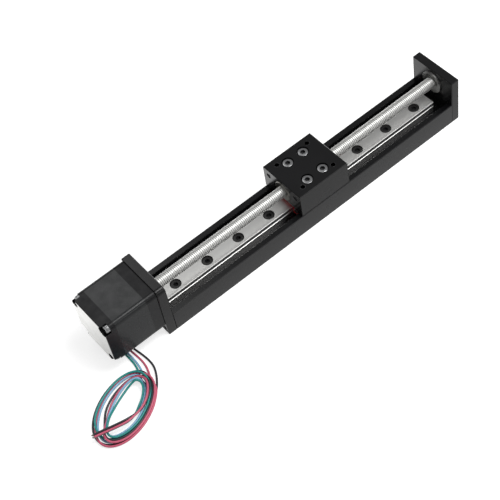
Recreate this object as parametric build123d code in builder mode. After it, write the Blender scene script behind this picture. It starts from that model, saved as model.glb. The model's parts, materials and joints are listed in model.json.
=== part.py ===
from build123d import *

import os
from math import pi, radians, tan

# Motorized linear slide: a channel base with a small ball-guided rail, a carriage on it, and a
# feed screw that is the shaft of a square stepper motor. X runs along the slide, from the motor
# to the bearing end. The origin is under the middle of the slide, on the surface it stands on.

# Overall
plate_thickness = 5.0
edge_break = 0.35
fit_clearance = 0.02
running_clearance = 0.05
moving_gap = 0.3

# Base channel
wall_thickness = 3.5
wall_top_below_guide = 1.55
floor_thickness = 4.55
channel_corner_radius = 0.5
base_mount_spacing_x = 150.0
base_mount_spacing_y = 16.0
base_mount_depth = 3.5

# Guide rail
rail_length = 180.0
rail_width = 9.0
rail_height = 6.5
rail_start_gap = 2.25
rail_end_gap = 3.75
rail_edge_chamfer = 0.3
rail_hole_pitch = 20.0
rail_hole_from_end = 10.0
rail_hole_diameter = 3.5
rail_counterbore_diameter = 6.0
rail_counterbore_depth = 3.4
rail_screw_engagement = 3.4
track_height = 4.2
track_depth = 0.55
track_diameter = 1.69

# Guide block
guide_width = 20.0
guide_side_gap = 1.0
guide_length = 28.9
guide_steel_length = 18.9
guide_total_height = 10.0
guide_underside_height = 2.0
guide_seal_thickness = 0.8
guide_cap_step = 0.25
guide_seal_step = 0.6
guide_hole_spacing_x = 10.0
guide_hole_inset = 2.5
guide_hole_depth = 3.0
guide_return_offset = 2.7
cap_screw_inset = 1.8
cap_screw_height = 6.9
cap_screw_engagement = 2.4

# Carriage
carriage_length = 31.2
carriage_side_setback = 0.1
carriage_top_above_screw = 7.3
carriage_skirt_gap = 0.7
carriage_rest_from_rail_start = 96.2
carriage_counterbore_diameter = 6.2
carriage_counterbore_depth = 3.5
carriage_hole_diameter = 3.4
carriage_mount_spacing = 20.0
carriage_mount_depth = 8.0
side_screw_spacing = 20.6
side_screw_drop = 4.0
side_screw_length = 3.0
side_screw_setback = 0.4

# Lead nut
nut_body_diameter = 10.0
nut_length = 24.0
nut_flange_diameter = 11.6
nut_flange_thickness = 1.6
nut_flange_proud = 0.2

# Feed screw
screw_above_guide = 6.15
screw_diameter = 6.0
journal_diameter = 5.0
screw_end_chamfer = 0.5
screw_start_gap = 0.5
journal_end_gap = 0.3

# End bearing and its plate
end_plate_above_screw = 8.3
end_bearing_diameter = 13.0
end_bearing_width = 4.0
end_bearing_proud = 0.8
retaining_ring_diameter = 8.0
retaining_ring_thickness = 0.6
retaining_ring_gap = 0.15
end_plate_bore_diameter = 9.0

# Motor
motor_face = 28.2
motor_length = 30.5
motor_corner_radius = 2.8
front_bell_length = 6.0
rear_bell_length = 6.4
bell_cavity_depth = 1.8
bell_cavity_diameter = 23.0
pilot_diameter = 22.0
pilot_height = 2.0
plate_bore_diameter = 9.0
motor_screw_inset = 2.6
motor_screw_head_diameter = 4.3
motor_screw_head_height = 2.0
motor_notch_diameter = 5.6
motor_notch_depth = 3.6
motor_bearing_diameter = 11.0
motor_bearing_width = 3.0
wave_washer_thickness = 0.4
wave_washer_width = 1.6

# Stator, windings and rotor
stator_bore_diameter = 14.4
pole_count = 8
pole_width = 2.6
pole_shoe_width = 4.4
pole_shoe_depth = 1.1
pole_root_depth = 0.5
yoke_inner_diameter = 22.6
winding_thickness = 0.9
winding_overhang = 1.3
winding_gap = 0.1
rotor_diameter = 14.0
rotor_tooth_count = 50
rotor_tooth_depth = 0.4
rotor_core_length = 7.5
rotor_magnet_thickness = 2.0
rotor_magnet_diameter = 12.6

# Bearings in general
bearing_race_share = 0.22
bearing_shield_setback = 0.2
bearing_shield_gap = 0.15

# Fasteners
m3_diameter = 3.0
m3_tap_diameter = 2.5
m3_head_diameter = 5.5
m3_head_height = 3.0
m3_key = 2.5
m25_diameter = 2.5
m25_head_diameter = 4.5
m25_head_height = 2.5
m25_key = 2.0
m16_diameter = 1.6
m16_head_diameter = 2.8
m16_head_height = 0.7
m16_key = 0.9
key_depth_share = 0.55
carriage_screw_engagement = 2.8
plate_screw_inset = 2.75
plate_screw_height = 2.95
plate_counterbore_depth = 2.7
plate_screw_engagement = 6.0

# Wire exit and leads
grommet_width = 6.6
grommet_length = 2.4
grommet_slot_height = 6.0
grommet_lip = 0.4
grommet_lip_height = 0.6
grommet_from_bell_front = 1.6
wire_diameter = 1.1
wire_pitch = 1.5
wire_rest_height = 0.6
wire_drop = 2.6
bend_share = 0.45

# Coil of the leads: an open oval of loose turns, with the free ends laid across it
coil_center = (-123.3, -32.6)
coil_outer_radii = (22.3, 13.7)
coil_inner_radii = (13.8, 5.4)
coil_turn = 25.0
coil_height = 4.4
ends_from = (-125.0, -40.5)
ends_to = (-144.0, -34.6)
ends_width = 5.6

# Places along X. The base is as long as the rail and the gaps at its ends.
base_length = rail_start_gap + rail_length + rail_end_gap
overall_length = motor_length + 2 * plate_thickness + base_length
motor_rear_x = -overall_length / 2
motor_front_x = motor_rear_x + motor_length
base_start_x = motor_front_x + plate_thickness
base_end_x = base_start_x + base_length
rail_start_x = base_start_x + rail_start_gap
rear_bell_front_x = motor_rear_x + rear_bell_length
front_bell_rear_x = motor_front_x - front_bell_length
stator_length = front_bell_rear_x - rear_bell_front_x
front_bearing_x = front_bell_rear_x + bell_cavity_depth
rear_bearing_x = rear_bell_front_x - bell_cavity_depth - motor_bearing_width
end_bearing_x = base_end_x - end_bearing_proud
carriage_x = rail_start_x + carriage_rest_from_rail_start
carriage_start_x = carriage_x - carriage_length / 2
guide_start_x = carriage_x - guide_length / 2
guide_steel_start_x = carriage_x - guide_steel_length / 2
guide_cap_length = (guide_length - guide_steel_length) / 2 - guide_seal_thickness

# Places across. The channel is as wide as the guide block and the gaps beside it.
channel_width = guide_width + 2 * guide_side_gap
slide_width = channel_width + 2 * wall_thickness
carriage_width = slide_width - 2 * carriage_side_setback
guide_hole_spacing_y = guide_width - 2 * guide_hole_inset
cap_screw_spacing = guide_width - 2 * cap_screw_inset
plate_screw_spacing = slide_width - 2 * plate_screw_inset
motor_screw_spacing = motor_face - 2 * motor_screw_inset
track_radius = track_diameter / 2
track_y = rail_width / 2 - track_depth + track_radius

# Places up. The walls, the screw and the plates keep their distances from the guide block's top.
rail_top = floor_thickness + rail_height
guide_bottom = floor_thickness + guide_underside_height
guide_top = floor_thickness + guide_total_height
guide_height = guide_top - guide_bottom
wall_height = guide_top - wall_top_below_guide
screw_axis_height = guide_top + screw_above_guide
carriage_top_height = screw_axis_height + carriage_top_above_screw
end_plate_height = screw_axis_height + end_plate_above_screw
skirt_bottom = wall_height + carriage_skirt_gap
carriage_height = carriage_top_height - skirt_bottom
track_z = floor_thickness + track_height
motor_bottom = screw_axis_height - motor_face / 2
motor_plate_height = screw_axis_height + motor_face / 2

# Hole places shared by the pieces that meet there
plate_screw_spots = [(side * plate_screw_spacing / 2, plate_screw_height) for side in (-1, 1)]
motor_screw_spots = [
    (across * motor_screw_spacing / 2, screw_axis_height + up * motor_screw_spacing / 2)
    for across in (-1, 1)
    for up in (-1, 1)
]
cap_screw_spots = [
    (side * cap_screw_spacing / 2, floor_thickness + cap_screw_height) for side in (-1, 1)
]
side_screw_spots = [
    (side * side_screw_spacing / 2, carriage_top_height - side_screw_drop) for side in (-1, 1)
]
rail_hole_count = int((rail_length - 2 * rail_hole_from_end) // rail_hole_pitch) + 1
rail_hole_xs = [
    rail_start_x + rail_hole_from_end + index * rail_hole_pitch for index in range(rail_hole_count)
]
carriage_screw_spots = [
    (carriage_x + along * guide_hole_spacing_x / 2, across * guide_hole_spacing_y / 2)
    for along in (-1, 1)
    for across in (-1, 1)
]
on_axis = (0, screw_axis_height)


def save(piece, name):
    """Names a finished piece and writes its file."""
    piece.label = name
    export_step(piece, f"parts/{name}.step")


def cap_screws(seat, spots, head_diameter, head_height, diameter, length, key):
    """Socket head screws with their heads on a plane and their shanks behind it."""
    with BuildPart() as screws:
        with BuildSketch(seat):
            with Locations(*spots):
                Circle(head_diameter / 2)
        extrude(amount=head_height)
        with BuildSketch(seat.offset(head_height)):
            with Locations(*spots):
                RegularPolygon(key / 2, 6, major_radius=False)
        extrude(amount=-key_depth_share * head_height, mode=Mode.SUBTRACT)
        with BuildSketch(seat):
            with Locations(*spots):
                Circle(diameter / 2)
        extrude(amount=-length)
    return screws.part


def ring(start_x, length, outer_diameter, inner_diameter):
    """A plain ring around the screw axis."""
    with BuildPart() as turned:
        with BuildSketch(Plane.YZ.offset(start_x)):
            with Locations(on_axis):
                Circle(outer_diameter / 2)
                Circle(inner_diameter / 2, mode=Mode.SUBTRACT)
        extrude(amount=length)
    return turned.part


def bearing(start_x, outer_diameter, width):
    """The outer ring with its shields, and the inner ring, of a shielded ball bearing."""
    pitch_radius = (outer_diameter + journal_diameter) / 4
    race_gap = bearing_race_share * (outer_diameter - journal_diameter) / 2
    with BuildPart() as outer:
        with BuildSketch(Plane.YZ.offset(start_x)):
            with Locations(on_axis):
                Circle(outer_diameter / 2)
                Circle(pitch_radius + race_gap, mode=Mode.SUBTRACT)
        extrude(amount=width)
        with BuildSketch(Plane.YZ.offset(start_x + bearing_shield_setback)):
            with Locations(on_axis):
                Circle(pitch_radius + race_gap)
                Circle(pitch_radius - race_gap + bearing_shield_gap, mode=Mode.SUBTRACT)
        extrude(amount=width - 2 * bearing_shield_setback)
    inner = ring(
        start_x, width, 2 * (pitch_radius - race_gap), journal_diameter + 2 * fit_clearance
    )
    return outer.part, inner


# Base channel
with BuildPart() as base_channel:
    with BuildSketch(Plane.YZ.offset(base_start_x)):
        Rectangle(slide_width, wall_height, align=(Align.CENTER, Align.MIN))
        with Locations((0, floor_thickness)):
            Rectangle(channel_width, wall_height, align=(Align.CENTER, Align.MIN), mode=Mode.SUBTRACT)
        fillet(vertices().group_by(Axis.Y)[1], channel_corner_radius)
        chamfer(vertices().group_by(Axis.Y)[-1], edge_break)
    extrude(amount=base_length)
    with Locations(*[(x, 0, floor_thickness) for x in rail_hole_xs]):
        Hole(m3_diameter / 2 + fit_clearance, rail_screw_engagement + 2 * fit_clearance)
    with BuildSketch(Plane.YZ.offset(base_start_x)):
        with Locations(*plate_screw_spots):
            Circle(m25_diameter / 2 + fit_clearance)
    extrude(amount=plate_screw_engagement + fit_clearance, mode=Mode.SUBTRACT)
    with BuildSketch(Plane.YZ.offset(base_end_x)):
        with Locations(*plate_screw_spots):
            Circle(m25_diameter / 2 + fit_clearance)
    extrude(amount=-plate_screw_engagement - fit_clearance, mode=Mode.SUBTRACT)
    with BuildSketch(Plane.XY):
        with Locations(((base_start_x + base_end_x) / 2, 0)):
            with GridLocations(base_mount_spacing_x, base_mount_spacing_y, 2, 2):
                Circle(m3_tap_diameter / 2)
    extrude(amount=base_mount_depth, mode=Mode.SUBTRACT)
save(base_channel.part, "base_channel")

# Guide rail with its two ball tracks
with BuildPart() as rail:
    with BuildSketch(Plane.YZ.offset(rail_start_x)):
        with Locations((0, floor_thickness)):
            Rectangle(rail_width, rail_height, align=(Align.CENTER, Align.MIN))
        chamfer(vertices().group_by(Axis.Y)[-1], rail_edge_chamfer)
        with Locations((-track_y, track_z), (track_y, track_z)):
            Circle(track_radius, mode=Mode.SUBTRACT)
    extrude(amount=rail_length)
    with Locations(*[(x, 0, rail_top) for x in rail_hole_xs]):
        CounterBoreHole(
            rail_hole_diameter / 2, rail_counterbore_diameter / 2, rail_counterbore_depth
        )
save(rail.part, "rail")

rail_screws = cap_screws(
    Plane.XY.offset(rail_top - rail_counterbore_depth),
    [(x, 0) for x in rail_hole_xs],
    m3_head_diameter,
    m3_head_height,
    m3_diameter,
    rail_height - rail_counterbore_depth + rail_screw_engagement,
    m3_key,
)
save(rail_screws, "rail_screws")

# Motor plate: closes the base and carries the motor. Its near top corner is rounded like the
# motor's and the far one is square.
with BuildPart() as motor_plate:
    with BuildSketch(Plane.YZ.offset(motor_front_x)):
        Rectangle(slide_width, motor_plate_height, align=(Align.CENTER, Align.MIN))
        fillet(vertices().group_by(Axis.Y)[-1].sort_by(Axis.X)[0], motor_corner_radius)
        chamfer(vertices().group_by(Axis.Y)[-1].sort_by(Axis.X)[-1], edge_break)
    extrude(amount=plate_thickness)
    chamfer(faces().filter_by(Axis.X).edges(), edge_break)
    with BuildSketch(Plane.YZ.offset(motor_front_x)):
        with Locations(on_axis):
            Circle(pilot_diameter / 2 + fit_clearance)
    extrude(amount=pilot_height + fit_clearance, mode=Mode.SUBTRACT)
    with BuildSketch(Plane.YZ.offset(motor_front_x)):
        with Locations(on_axis):
            Circle(plate_bore_diameter / 2)
        with Locations(*motor_screw_spots):
            Circle(m25_diameter / 2 + fit_clearance)
        with Locations(*plate_screw_spots):
            Circle(m25_diameter / 2 + 2 * fit_clearance)
    extrude(amount=plate_thickness, mode=Mode.SUBTRACT)
    with BuildSketch(Plane.YZ.offset(motor_front_x)):
        with Locations(*plate_screw_spots):
            Circle(m25_head_diameter / 2 + running_clearance)
    extrude(amount=plate_counterbore_depth, mode=Mode.SUBTRACT)
save(motor_plate.part, "motor_plate")

motor_plate_screws = cap_screws(
    Plane(origin=(motor_front_x + plate_counterbore_depth, 0, 0), x_dir=(0, -1, 0), z_dir=(-1, 0, 0)),
    plate_screw_spots,
    m25_head_diameter,
    m25_head_height,
    m25_diameter,
    plate_thickness - plate_counterbore_depth + plate_screw_engagement,
    m25_key,
)
save(motor_plate_screws, "motor_plate_screws")

# End plate: carries the bearing of the screw's free end
with BuildPart() as end_plate:
    with BuildSketch(Plane.YZ.offset(base_end_x)):
        Rectangle(slide_width, end_plate_height, align=(Align.CENTER, Align.MIN))
        chamfer(vertices().group_by(Axis.Y)[-1], edge_break)
    extrude(amount=plate_thickness)
    chamfer(faces().filter_by(Axis.X).edges(), edge_break)
    with BuildSketch(Plane.YZ.offset(base_end_x)):
        with Locations(on_axis):
            Circle(end_bearing_diameter / 2 + fit_clearance)
    extrude(amount=end_bearing_width - end_bearing_proud, mode=Mode.SUBTRACT)
    with BuildSketch(Plane.YZ.offset(base_end_x)):
        with Locations(on_axis):
            Circle(end_plate_bore_diameter / 2)
        with Locations(*plate_screw_spots):
            Circle(m25_diameter / 2 + 2 * fit_clearance)
    extrude(amount=plate_thickness, mode=Mode.SUBTRACT)
    with BuildSketch(Plane.YZ.offset(base_end_x + plate_thickness)):
        with Locations(*plate_screw_spots):
            Circle(m25_head_diameter / 2 + running_clearance)
    extrude(amount=-plate_counterbore_depth, mode=Mode.SUBTRACT)
save(end_plate.part, "end_plate")

end_plate_screws = cap_screws(
    Plane.YZ.offset(base_end_x + plate_thickness - plate_counterbore_depth),
    plate_screw_spots,
    m25_head_diameter,
    m25_head_height,
    m25_diameter,
    plate_thickness - plate_counterbore_depth + plate_screw_engagement,
    m25_key,
)
save(end_plate_screws, "end_plate_screws")

# The three ball bearings of the screw
for place, start_x, diameter, width in (
    ("end", end_bearing_x, end_bearing_diameter, end_bearing_width),
    ("front", front_bearing_x, motor_bearing_diameter, motor_bearing_width),
    ("rear", rear_bearing_x, motor_bearing_diameter, motor_bearing_width),
):
    outer_ring, inner_ring = bearing(start_x, diameter, width)
    save(outer_ring, f"{place}_bearing_outer")
    save(inner_ring, f"{place}_bearing_inner")

# Motor front bell, with the pilot that centres the motor in its plate
with BuildPart() as motor_front_bell:
    with BuildSketch(Plane.YZ.offset(front_bell_rear_x)):
        with Locations(on_axis):
            Rectangle(motor_face, motor_face)
        fillet(vertices(), motor_corner_radius)
    extrude(amount=front_bell_length)
    chamfer(faces().sort_by(Axis.X)[-1].edges(), edge_break)
    with BuildSketch(Plane.YZ.offset(motor_front_x)):
        with Locations(on_axis):
            Circle(pilot_diameter / 2)
    extrude(amount=pilot_height)
    with BuildSketch(Plane.YZ.offset(front_bell_rear_x)):
        with Locations(on_axis):
            Circle(bell_cavity_diameter / 2)
    extrude(amount=bell_cavity_depth, mode=Mode.SUBTRACT)
    with BuildSketch(Plane.YZ.offset(front_bearing_x)):
        with Locations(on_axis):
            Circle(motor_bearing_diameter / 2 + fit_clearance)
    extrude(amount=motor_bearing_width, mode=Mode.SUBTRACT)
    with BuildSketch(Plane.YZ.offset(front_bell_rear_x)):
        with Locations(on_axis):
            Circle(journal_diameter / 2 + moving_gap)
        with Locations(*motor_screw_spots):
            Circle(m25_diameter / 2 + running_clearance)
    extrude(amount=front_bell_length + pilot_height, mode=Mode.SUBTRACT)
save(motor_front_bell.part, "motor_front_bell")

# Stator stack: a square yoke with rounded corners and wound poles pointing at the rotor
slot_angle = 360 / pole_count
pole_length = (yoke_inner_diameter - stator_bore_diameter) / 2 + pole_root_depth
with BuildPart() as motor_stator:
    with BuildSketch(Plane.YZ.offset(rear_bell_front_x)):
        with Locations(on_axis):
            Rectangle(motor_face, motor_face)
        fillet(vertices(), motor_corner_radius)
        with Locations(on_axis):
            Circle(yoke_inner_diameter / 2, mode=Mode.SUBTRACT)
        with Locations(on_axis):
            with PolarLocations(0, pole_count, start_angle=slot_angle / 2):
                with Locations((stator_bore_diameter / 2, 0)):
                    Rectangle(pole_length, pole_width, align=(Align.MIN, Align.CENTER))
                    Rectangle(pole_shoe_depth, pole_shoe_width, align=(Align.MIN, Align.CENTER))
        with Locations(on_axis):
            Circle(stator_bore_diameter / 2, mode=Mode.SUBTRACT)
        with Locations(*motor_screw_spots):
            Circle(m25_diameter / 2 + running_clearance, mode=Mode.SUBTRACT)
    extrude(amount=stator_length)
save(motor_stator.part, "motor_stator")

# One coil around each pole, with its ends standing out of the stack
coil_inner_radius = stator_bore_diameter / 2 + pole_shoe_depth + winding_gap
coil_radial_length = yoke_inner_diameter / 2 - coil_inner_radius - winding_thickness
with BuildPart() as motor_windings:
    with BuildSketch(Plane.YZ.offset(rear_bell_front_x - winding_overhang)):
        with Locations(on_axis):
            with PolarLocations(0, pole_count, start_angle=slot_angle / 2):
                with Locations((coil_inner_radius, 0)):
                    Rectangle(
                        coil_radial_length,
                        pole_width + 2 * (winding_gap + winding_thickness),
                        align=(Align.MIN, Align.CENTER),
                    )
    extrude(amount=stator_length + 2 * winding_overhang)
    with BuildSketch(Plane.YZ.offset(rear_bell_front_x - winding_gap)):
        with Locations(on_axis):
            with PolarLocations(0, pole_count, start_angle=slot_angle / 2):
                with Locations((coil_inner_radius, 0)):
                    Rectangle(
                        coil_radial_length,
                        pole_width + 2 * winding_gap,
                        align=(Align.MIN, Align.CENTER),
                    )
    extrude(amount=stator_length + 2 * winding_gap, mode=Mode.SUBTRACT)
save(motor_windings.part, "motor_windings")

# Motor rear bell: corner notches take the screw heads, and a slot below takes the grommet
grommet_x = rear_bell_front_x - grommet_from_bell_front
with BuildPart() as motor_rear_bell:
    with BuildSketch(Plane.YZ.offset(motor_rear_x)):
        with Locations(on_axis):
            Rectangle(motor_face, motor_face)
        fillet(vertices(), motor_corner_radius)
    extrude(amount=rear_bell_length)
    chamfer(faces().sort_by(Axis.X)[0].edges(), edge_break)
    with BuildSketch(Plane.YZ.offset(rear_bell_front_x)):
        with Locations(on_axis):
            Circle(bell_cavity_diameter / 2)
    extrude(amount=-bell_cavity_depth, mode=Mode.SUBTRACT)
    with BuildSketch(Plane.YZ.offset(rear_bearing_x - wave_washer_thickness)):
        with Locations(on_axis):
            Circle(motor_bearing_diameter / 2 + fit_clearance)
    extrude(amount=wave_washer_thickness + motor_bearing_width, mode=Mode.SUBTRACT)
    with BuildSketch(Plane.YZ.offset(motor_rear_x)):
        with Locations(*motor_screw_spots):
            Circle(m25_diameter / 2 + running_clearance)
    extrude(amount=rear_bell_length, mode=Mode.SUBTRACT)
    with BuildSketch(Plane.YZ.offset(motor_rear_x)):
        with Locations(*motor_screw_spots):
            Circle(motor_notch_diameter / 2)
    extrude(amount=motor_notch_depth, mode=Mode.SUBTRACT)
    with BuildSketch(Plane.XY.offset(motor_bottom)):
        with Locations((grommet_x, 0)):
            Rectangle(grommet_length, grommet_width)
    extrude(amount=grommet_slot_height, mode=Mode.SUBTRACT)
save(motor_rear_bell.part, "motor_rear_bell")

wave_washer = ring(
    rear_bearing_x - wave_washer_thickness,
    wave_washer_thickness,
    motor_bearing_diameter - 2 * running_clearance,
    motor_bearing_diameter - 2 * wave_washer_width,
)
save(wave_washer, "wave_washer")

# Long screws that hold the motor together and to its plate
motor_screws = cap_screws(
    Plane(origin=(motor_rear_x + motor_notch_depth, 0, 0), x_dir=(0, -1, 0), z_dir=(-1, 0, 0)),
    motor_screw_spots,
    motor_screw_head_diameter,
    motor_screw_head_height,
    m25_diameter,
    motor_length - motor_notch_depth + plate_thickness,
    m25_key,
)
save(motor_screws, "motor_screws")

# Grommet in the rear bell's lower slot
with BuildPart() as wire_grommet:
    with BuildSketch(Plane.XY.offset(motor_bottom - grommet_lip_height)):
        with Locations((grommet_x, 0)):
            RectangleRounded(
                grommet_length + 2 * grommet_lip,
                grommet_width + 2 * grommet_lip,
                grommet_lip,
            )
    extrude(amount=grommet_lip_height)
    with BuildSketch(Plane.XY.offset(motor_bottom)):
        with Locations((grommet_x, 0)):
            Rectangle(grommet_length - 2 * fit_clearance, grommet_width - 2 * fit_clearance)
    extrude(amount=(motor_face - bell_cavity_diameter) / 2)
save(wire_grommet.part, "wire_grommet")

# Feed screw: motor shaft, screw and end journal in one
screw_start_x = motor_front_x + pilot_height + screw_start_gap
journal_end_x = base_end_x + plate_thickness - journal_end_gap
with BuildPart() as feed_screw:
    with BuildSketch(Plane.YZ.offset(rear_bearing_x)):
        with Locations(on_axis):
            Circle(journal_diameter / 2)
    extrude(amount=journal_end_x - rear_bearing_x)
    with BuildSketch(Plane.YZ.offset(screw_start_x)):
        with Locations(on_axis):
            Circle(screw_diameter / 2)
    extrude(amount=end_bearing_x - screw_start_x)
    chamfer(edges().filter_by(GeomType.CIRCLE).group_by(Axis.X)[-1], screw_end_chamfer)
    chamfer(edges().filter_by(GeomType.CIRCLE).group_by(Axis.X)[0], screw_end_chamfer)
save(feed_screw.part, "feed_screw")

# Retaining ring behind the end bearing
retaining_ring = ring(
    end_bearing_x + end_bearing_width + retaining_ring_gap,
    retaining_ring_thickness,
    retaining_ring_diameter,
    journal_diameter + 2 * fit_clearance,
)
save(retaining_ring, "retaining_ring")

# Rotor: two toothed cores, half a tooth apart, with the magnet between them
rotor_length = 2 * rotor_core_length + rotor_magnet_thickness
rotor_start_x = rear_bell_front_x + (stator_length - rotor_length) / 2
tooth_angle = 360 / rotor_tooth_count
tooth_gap_width = pi * rotor_diameter / rotor_tooth_count / 2
front_core_x = rotor_start_x + rotor_core_length + rotor_magnet_thickness
for name, core_x, turn in (
    ("rotor_core_rear", rotor_start_x, 0),
    ("rotor_core_front", front_core_x, tooth_angle / 2),
):
    with BuildPart() as rotor_core:
        with BuildSketch(Plane.YZ.offset(core_x)):
            with Locations(on_axis):
                Circle(rotor_diameter / 2)
                Circle(journal_diameter / 2 + fit_clearance, mode=Mode.SUBTRACT)
                with PolarLocations(rotor_diameter / 2, rotor_tooth_count, start_angle=turn):
                    Rectangle(2 * rotor_tooth_depth, tooth_gap_width, mode=Mode.SUBTRACT)
        extrude(amount=rotor_core_length)
    save(rotor_core.part, name)

rotor_magnet = ring(
    rotor_start_x + rotor_core_length,
    rotor_magnet_thickness,
    rotor_magnet_diameter,
    journal_diameter + 2 * fit_clearance,
)
save(rotor_magnet, "rotor_magnet")

# Steel body of the guide block, open below around the rail
guide_opening_width = rail_width + 2 * moving_gap
guide_opening_height = rail_top + moving_gap - guide_bottom
with BuildPart() as guide_block:
    with BuildSketch(Plane.YZ.offset(guide_steel_start_x)):
        with Locations((0, guide_bottom)):
            Rectangle(guide_width, guide_height, align=(Align.CENTER, Align.MIN))
        chamfer(vertices(), edge_break)
        with Locations((0, guide_bottom)):
            Rectangle(
                guide_opening_width,
                guide_opening_height,
                align=(Align.CENTER, Align.MIN),
                mode=Mode.SUBTRACT,
            )
        with Locations((-track_y, track_z), (track_y, track_z)):
            Circle(track_radius, mode=Mode.SUBTRACT)
        with Locations(
            (-track_y - guide_return_offset, track_z), (track_y + guide_return_offset, track_z)
        ):
            Circle(track_radius, mode=Mode.SUBTRACT)
    extrude(amount=guide_steel_length)
    with Locations(*[(x, y, guide_top) for x, y in carriage_screw_spots]):
        Hole(m3_diameter / 2 + fit_clearance, guide_hole_depth)
    for end_x, inward in (
        (guide_steel_start_x, cap_screw_engagement),
        (guide_steel_start_x + guide_steel_length, -cap_screw_engagement),
    ):
        with BuildSketch(Plane.YZ.offset(end_x)):
            with Locations(*cap_screw_spots):
                Circle(m16_diameter / 2 + fit_clearance)
        extrude(amount=inward, mode=Mode.SUBTRACT)
save(guide_block.part, "guide_block")


def guide_end_piece(start_x, length, step):
    """A cap or seal on the end of the guide block, set in from its outline by a step."""
    with BuildPart() as piece:
        with BuildSketch(Plane.YZ.offset(start_x)):
            with Locations((0, guide_bottom + step)):
                Rectangle(
                    guide_width - 2 * step,
                    guide_height - 2 * step,
                    align=(Align.CENTER, Align.MIN),
                )
            chamfer(vertices(), edge_break)
            with Locations((0, guide_bottom)):
                Rectangle(
                    guide_opening_width,
                    guide_opening_height,
                    align=(Align.CENTER, Align.MIN),
                    mode=Mode.SUBTRACT,
                )
            with Locations(*cap_screw_spots):
                Circle(m16_diameter / 2 + fit_clearance, mode=Mode.SUBTRACT)
        extrude(amount=length)
    return piece.part


# End caps and end seals of the guide block, and the screws through both
for place, cap_x, seal_x in (
    ("rear", guide_start_x + guide_seal_thickness, guide_start_x),
    (
        "front",
        guide_steel_start_x + guide_steel_length,
        guide_start_x + guide_length - guide_seal_thickness,
    ),
):
    save(guide_end_piece(cap_x, guide_cap_length, guide_cap_step), f"guide_end_cap_{place}")
    save(guide_end_piece(seal_x, guide_seal_thickness, guide_seal_step), f"guide_seal_{place}")

cap_screw_length = guide_cap_length + guide_seal_thickness + cap_screw_engagement
rear_cap_screws = cap_screws(
    Plane(origin=(guide_start_x, 0, 0), x_dir=(0, -1, 0), z_dir=(-1, 0, 0)),
    cap_screw_spots,
    m16_head_diameter,
    m16_head_height,
    m16_diameter,
    cap_screw_length,
    m16_key,
)
front_cap_screws = cap_screws(
    Plane.YZ.offset(guide_start_x + guide_length),
    cap_screw_spots,
    m16_head_diameter,
    m16_head_height,
    m16_diameter,
    cap_screw_length,
    m16_key,
)
save(Compound(rear_cap_screws.solids() + front_cap_screws.solids()), "guide_cap_screws")

# Carriage block on top of the guide block
with BuildPart() as carriage_block:
    with BuildSketch(Plane.XY.offset(skirt_bottom)):
        with Locations((carriage_x, 0)):
            Rectangle(carriage_length, carriage_width)
    extrude(amount=carriage_height)
    chamfer(edges().group_by(Axis.Z)[-1], edge_break)
    with BuildSketch(Plane.YZ.offset(carriage_start_x)):
        with Locations((0, skirt_bottom)):
            Rectangle(
                guide_width + 2 * running_clearance,
                guide_top - skirt_bottom,
                align=(Align.CENTER, Align.MIN),
            )
        with Locations(on_axis):
            Circle(nut_body_diameter / 2 + fit_clearance)
    extrude(amount=carriage_length, mode=Mode.SUBTRACT)
    with BuildSketch(Plane.YZ.offset(carriage_start_x)):
        with Locations(on_axis):
            Circle(nut_flange_diameter / 2 + running_clearance)
    extrude(amount=nut_flange_thickness - nut_flange_proud, mode=Mode.SUBTRACT)
    with BuildSketch(Plane.YZ.offset(carriage_start_x)):
        with Locations(*side_screw_spots):
            Circle(m3_diameter / 2 + fit_clearance)
    extrude(amount=side_screw_length + side_screw_setback, mode=Mode.SUBTRACT)
    with Locations(*[(x, y, carriage_top_height) for x, y in carriage_screw_spots]):
        CounterBoreHole(
            carriage_hole_diameter / 2,
            carriage_counterbore_diameter / 2,
            carriage_counterbore_depth,
        )
    with Locations((carriage_x, 0, carriage_top_height)):
        with GridLocations(carriage_mount_spacing, carriage_mount_spacing, 2, 2):
            Hole(m3_tap_diameter / 2, carriage_mount_depth)
save(carriage_block.part, "carriage_block")

carriage_screws = cap_screws(
    Plane.XY.offset(carriage_top_height - carriage_counterbore_depth),
    carriage_screw_spots,
    m3_head_diameter,
    m3_head_height,
    m3_diameter,
    carriage_top_height - carriage_counterbore_depth - guide_top + carriage_screw_engagement,
    m3_key,
)
save(carriage_screws, "carriage_screws")

# Short set screws in the motor-side face of the carriage
with BuildPart() as carriage_set_screws:
    with BuildSketch(Plane.YZ.offset(carriage_start_x + side_screw_setback)):
        with Locations(*side_screw_spots):
            Circle(m3_diameter / 2)
    extrude(amount=side_screw_length)
    with BuildSketch(Plane.YZ.offset(carriage_start_x + side_screw_setback)):
        with Locations(*side_screw_spots):
            RegularPolygon(m16_diameter / 2, 6, major_radius=False)
    extrude(amount=key_depth_share * side_screw_length, mode=Mode.SUBTRACT)
save(carriage_set_screws.part, "carriage_set_screws")

# Lead nut, pressed into the carriage with its flange on the motor side
nut_flange_x = carriage_start_x - nut_flange_proud
with BuildPart() as lead_nut:
    with BuildSketch(Plane.YZ.offset(nut_flange_x)):
        with Locations(on_axis):
            Circle(nut_flange_diameter / 2)
    extrude(amount=nut_flange_thickness)
    chamfer(edges().group_by(Axis.X)[0], edge_break)
    with BuildSketch(Plane.YZ.offset(nut_flange_x)):
        with Locations(on_axis):
            Circle(nut_body_diameter / 2)
    extrude(amount=nut_length)
    with BuildSketch(Plane.YZ.offset(nut_flange_x)):
        with Locations(on_axis):
            Circle(screw_diameter / 2 + running_clearance)
    extrude(amount=nut_length, mode=Mode.SUBTRACT)
save(lead_nut.part, "lead_nut")

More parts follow.
